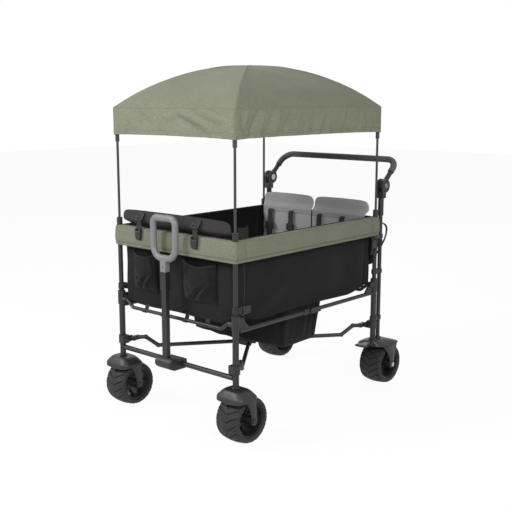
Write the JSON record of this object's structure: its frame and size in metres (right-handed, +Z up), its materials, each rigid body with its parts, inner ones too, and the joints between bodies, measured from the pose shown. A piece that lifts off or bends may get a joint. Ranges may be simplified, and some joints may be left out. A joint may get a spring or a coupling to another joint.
{
  "type": "stroller wagon",
  "caption": "Folding stroller wagon: a four-post frame on wide wheels with a fabric tub, facing seats, a canopy, a push handle and a pull handle.",
  "frame": {"origin": "on the ground below the middle of the whole wagon", "axes": "+X towards the pull handle at the front, +Y to the left, +Z up"},
  "size_m": [1.0236, 0.7082, 1.262],
  "materials": {
    "frame_metal": "satin powder coat",
    "fork_metal": "satin powder coat",
    "steel": "brushed",
    "pole_metal": "satin",
    "black_plastic": "fine texture",
    "grey_plastic": "satin",
    "tyre": "matte",
    "foam": "matte foam",
    "green_fabric": "heathered weave",
    "black_fabric": "plain weave",
    "light_seat": "soft weave",
    "dark_seat": "soft weave",
    "webbing": "webbing"
  },
  "bodies": {
    "rear_frame": {"rear_posts": "frame_metal", "rear_sleeves": "black_plastic", "rear_brackets": "black_plastic", "rear_floor_bar": "frame_metal", "push_uprights": "frame_metal", "upright_clamps": "black_plastic", "hinge_sockets": "black_plastic", "hinge_pins": "steel", "rear_forks": "fork_metal", "rear_axles": "steel", "tub_rear_panel": "black_fabric", "tub_side_panels": "black_fabric", "tub_floor": "black_fabric", "rim_rear": "green_fabric", "rim_sides": "green_fabric", "rear_seat_back": "light_seat", "seat_pads": "dark_seat", "rear_harness": "webbing", "rear_bag": "black_fabric"},
    "push_handle": {"push_bar": "frame_metal", "push_grip": "foam"},
    "button_left": {"hinge_button_left": "grey_plastic"},
    "button_right": {"hinge_button_right": "grey_plastic"},
    "rear_wheel_left": {"rear_tyre_left": "tyre", "rear_rim_left": "black_plastic"},
    "rear_wheel_right": {"rear_tyre_right": "tyre", "rear_rim_right": "black_plastic"},
    "pedal_left": {"brake_pedal_left": "black_plastic"},
    "pedal_right": {"brake_pedal_right": "black_plastic"},
    "rear_brace": {"base_rear_brace": "frame_metal"},
    "front_brace": {"base_front_brace": "frame_metal"},
    "rail_left_rear": {"side_rail_left_rear": "frame_metal"},
    "rail_left_front": {"side_rail_left_front": "frame_metal"},
    "rail_right_rear": {"side_rail_right_rear": "frame_metal"},
    "rail_right_front": {"side_rail_right_front": "frame_metal"},
    "front_frame": {"front_posts": "frame_metal", "front_sleeves": "black_plastic", "front_brackets": "black_plastic", "front_crossbar": "frame_metal", "front_floor_bar": "frame_metal", "pull_bracket": "black_plastic", "tub_front_panel": "black_fabric", "rim_front": "green_fabric", "front_seat_back": "dark_seat", "front_seat_straps": "webbing"},
    "caster_left": {"caster_fork_left": "fork_metal"},
    "caster_right": {"caster_fork_right": "fork_metal"},
    "front_wheel_left": {"front_tyre_left": "tyre", "front_rim_left": "black_plastic"},
    "front_wheel_right": {"front_tyre_right": "tyre", "front_rim_right": "black_plastic"},
    "pull_handle": {"pull_tube": "frame_metal"},
    "pull_grip": {"pull_grip": "grey_plastic"},
    "canopy": {"rear_poles": "pole_metal", "canopy_ribs": "pole_metal", "canopy_cover": "green_fabric"},
    "front_poles": {"front_poles": "pole_metal"}
  },
  "joints": [
    {"name": "fold", "type": "hinge", "parent": "rear_frame", "child": "rear_brace", "pos_m": [-0.3282, 0, 0.256], "axis": [0, -1, 0], "range_deg": [0, 74], "deforming": ["tub_side_panels", "tub_floor", "rim_sides", "seat_pads", "canopy_cover", "canopy_ribs"]},
    {"name": "hub_fold", "type": "hinge", "parent": "rear_brace", "child": "front_brace", "pos_m": [0.0458, 0, 0.221], "axis": [0, -1, 0], "range_deg": [-148, 0]},
    {"name": "front_fold", "type": "hinge", "parent": "front_brace", "child": "front_frame", "pos_m": [0.4198, 0, 0.256], "axis": [0, -1, 0], "range_deg": [0, 74]},
    {"name": "rail_left_rear_fold", "type": "hinge", "parent": "rear_frame", "child": "rail_left_rear", "pos_m": [-0.3282, 0.29, 0.421], "axis": [0, -1, 0], "range_deg": [0, 74]},
    {"name": "rail_left_mid_fold", "type": "hinge", "parent": "rail_left_rear", "child": "rail_left_front", "pos_m": [0.0458, 0.29, 0.386], "axis": [0, -1, 0], "range_deg": [-148, 0]},
    {"name": "rail_right_rear_fold", "type": "hinge", "parent": "rear_frame", "child": "rail_right_rear", "pos_m": [-0.3282, -0.29, 0.421], "axis": [0, -1, 0], "range_deg": [0, 74]},
    {"name": "rail_right_mid_fold", "type": "hinge", "parent": "rail_right_rear", "child": "rail_right_front", "pos_m": [0.0458, -0.29, 0.386], "axis": [0, -1, 0], "range_deg": [-148, 0]},
    {"name": "push_tilt", "type": "hinge", "parent": "rear_frame", "child": "push_handle", "pos_m": [-0.3992, 0, 0.806], "axis": [0, 1, 0], "range_deg": [-80, 35]},
    {"name": "button_left_press", "type": "slide", "parent": "rear_frame", "child": "button_left", "axis": [0, -1, 0], "range_m": [0, 0.0025], "stiffness_N_per_m": 800, "springref_m": -0.001},
    {"name": "rear_wheel_left_spin", "type": "hinge", "parent": "rear_frame", "child": "rear_wheel_left", "pos_m": [-0.4282, 0.278, 0.0825], "axis": [0, 1, 0], "continuous": true},
    {"name": "brake_left_press", "type": "hinge", "parent": "rear_frame", "child": "pedal_left", "pos_m": [-0.3282, 0.29, 0.184], "axis": [0, 1, 0], "range_deg": [0, 15]},
    {"name": "caster_left_swivel", "type": "hinge", "parent": "front_frame", "child": "caster_left", "pos_m": [0.4458, 0.29, 0.18], "axis": [0, 0, 1], "continuous": true},
    {"name": "front_wheel_left_spin", "type": "hinge", "parent": "caster_left", "child": "front_wheel_left", "pos_m": [0.4178, 0.29, 0.0825], "axis": [0, 1, 0], "continuous": true},
    {"name": "button_right_press", "type": "slide", "parent": "rear_frame", "child": "button_right", "axis": [0, 1, 0], "range_m": [0, 0.0025], "stiffness_N_per_m": 800, "springref_m": -0.001},
    {"name": "rear_wheel_right_spin", "type": "hinge", "parent": "rear_frame", "child": "rear_wheel_right", "pos_m": [-0.4282, -0.278, 0.0825], "axis": [0, 1, 0], "continuous": true},
    {"name": "brake_right_press", "type": "hinge", "parent": "rear_frame", "child": "pedal_right", "pos_m": [-0.3282, -0.29, 0.184], "axis": [0, 1, 0], "range_deg": [0, 15]},
    {"name": "caster_right_swivel", "type": "hinge", "parent": "front_frame", "child": "caster_right", "pos_m": [0.4458, -0.29, 0.18], "axis": [0, 0, 1], "continuous": true},
    {"name": "front_wheel_right_spin", "type": "hinge", "parent": "caster_right", "child": "front_wheel_right", "pos_m": [0.4178, -0.29, 0.0825], "axis": [0, 1, 0], "continuous": true},
    {"name": "pull_tilt", "type": "hinge", "parent": "front_frame", "child": "pull_handle", "pos_m": [0.4908, 0, 0.232], "axis": [0, 1, 0], "range_deg": [0, 100]},
    {"name": "pull_extend", "type": "slide", "parent": "pull_handle", "child": "pull_grip", "axis": [0, 0, 1], "range_m": [0, 0.24]},
    {"name": "canopy_height", "type": "slide", "parent": "rear_frame", "child": "canopy", "axis": [0, 0, 1], "range_m": [-0.15, 0]},
    {"name": "front_pole_slide", "type": "slide", "parent": "front_frame", "child": "front_poles", "axis": [0, 0, 1], "range_m": [-0.15, 0]}
  ],
  "couplings": [
    {"joint": "hub_fold", "follows": "fold", "ratio": -2},
    {"joint": "front_fold", "follows": "fold", "ratio": 1},
    {"joint": "rail_left_rear_fold", "follows": "fold", "ratio": 1},
    {"joint": "rail_left_mid_fold", "follows": "fold", "ratio": -2},
    {"joint": "rail_right_rear_fold", "follows": "fold", "ratio": 1},
    {"joint": "rail_right_mid_fold", "follows": "fold", "ratio": -2},
    {"joint": "front_pole_slide", "follows": "canopy_height", "ratio": 1}
  ]
}
